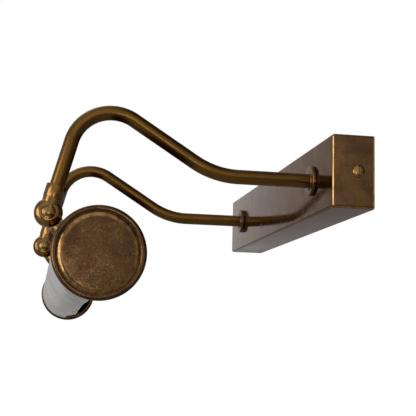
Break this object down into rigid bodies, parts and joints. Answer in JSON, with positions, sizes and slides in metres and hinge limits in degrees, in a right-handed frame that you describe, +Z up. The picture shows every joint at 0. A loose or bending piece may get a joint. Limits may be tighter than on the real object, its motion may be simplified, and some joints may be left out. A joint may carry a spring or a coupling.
{
  "type": "two-arm picture light",
  "caption": "Wall-mounted picture light: long cylindrical shade, open along its lower back, tilting on slotted screw knuckles at the ends of bent tube arms on a rectangular wall box.",
  "frame": {"origin": "centre of the wall bracket's back face, where it meets the wall", "axes": "+X along the shade to its right end as seen from the room, +Y into the wall, +Z up"},
  "size_m": [0.58, 0.2768, 0.1728],
  "materials": {
    "brushed_bronze": "brushed bronze lacquer, satin, reflective",
    "aged_bronze": "hand-rubbed dark bronze with brassy scratches",
    "polished_brass": "polished brass with brown toning in the recesses",
    "zinc_steel": "zinc plated sheet, dull",
    "reflector_aluminium": "matt anodised sheet",
    "fibre": "pressed brown fibre",
    "white_moulding": "moulded thermoset",
    "black_moulding": "moulded phenolic",
    "rubber": "soft black rubber",
    "wire": "sheathed flexible lead",
    "lamp_glass": "frosted glass"
  },
  "bodies": {
    "wall_arms": {"wall_bracket": "zinc_steel", "wall_box_cover": "brushed_bronze", "terminal_block": "white_moulding", "cable_grommet": "rubber", "earth_stud": "polished_brass", "earth_nut": "polished_brass", "end_screw_right": "aged_bronze", "arm_tube_right": "aged_bronze", "arm_collar_right": "aged_bronze", "arm_washer_right": "zinc_steel", "arm_nut_right": "polished_brass", "wiring_lead_right": "wire", "arm_knuckle_right": "polished_brass", "knuckle_screw_right": "polished_brass", "friction_washer_right": "fibre", "end_screw_left": "aged_bronze", "arm_tube_left": "aged_bronze", "arm_collar_left": "aged_bronze", "arm_washer_left": "zinc_steel", "arm_nut_left": "polished_brass", "wiring_lead_left": "wire", "arm_knuckle_left": "polished_brass", "knuckle_screw_left": "polished_brass", "friction_washer_left": "fibre"},
    "shade": {"shade_tube": "aged_bronze", "reflector": "reflector_aluminium", "shade_knuckle_right": "polished_brass", "neck_nut_right": "polished_brass", "end_cap_right": "aged_bronze", "reflector_end_right": "zinc_steel", "lampholder_right": "black_moulding", "lamp_right": "lamp_glass", "shade_knuckle_left": "polished_brass", "neck_nut_left": "polished_brass", "end_cap_left": "aged_bronze", "reflector_end_left": "zinc_steel", "lampholder_left": "black_moulding", "lamp_left": "lamp_glass"}
  },
  "joints": [
    {"name": "shade_tilt", "type": "hinge", "parent": "wall_arms", "child": "shade", "pos_m": [0, -0.26478, -0.03927], "axis": [1, 0, 0], "range_deg": [-60, 60]}
  ]
}
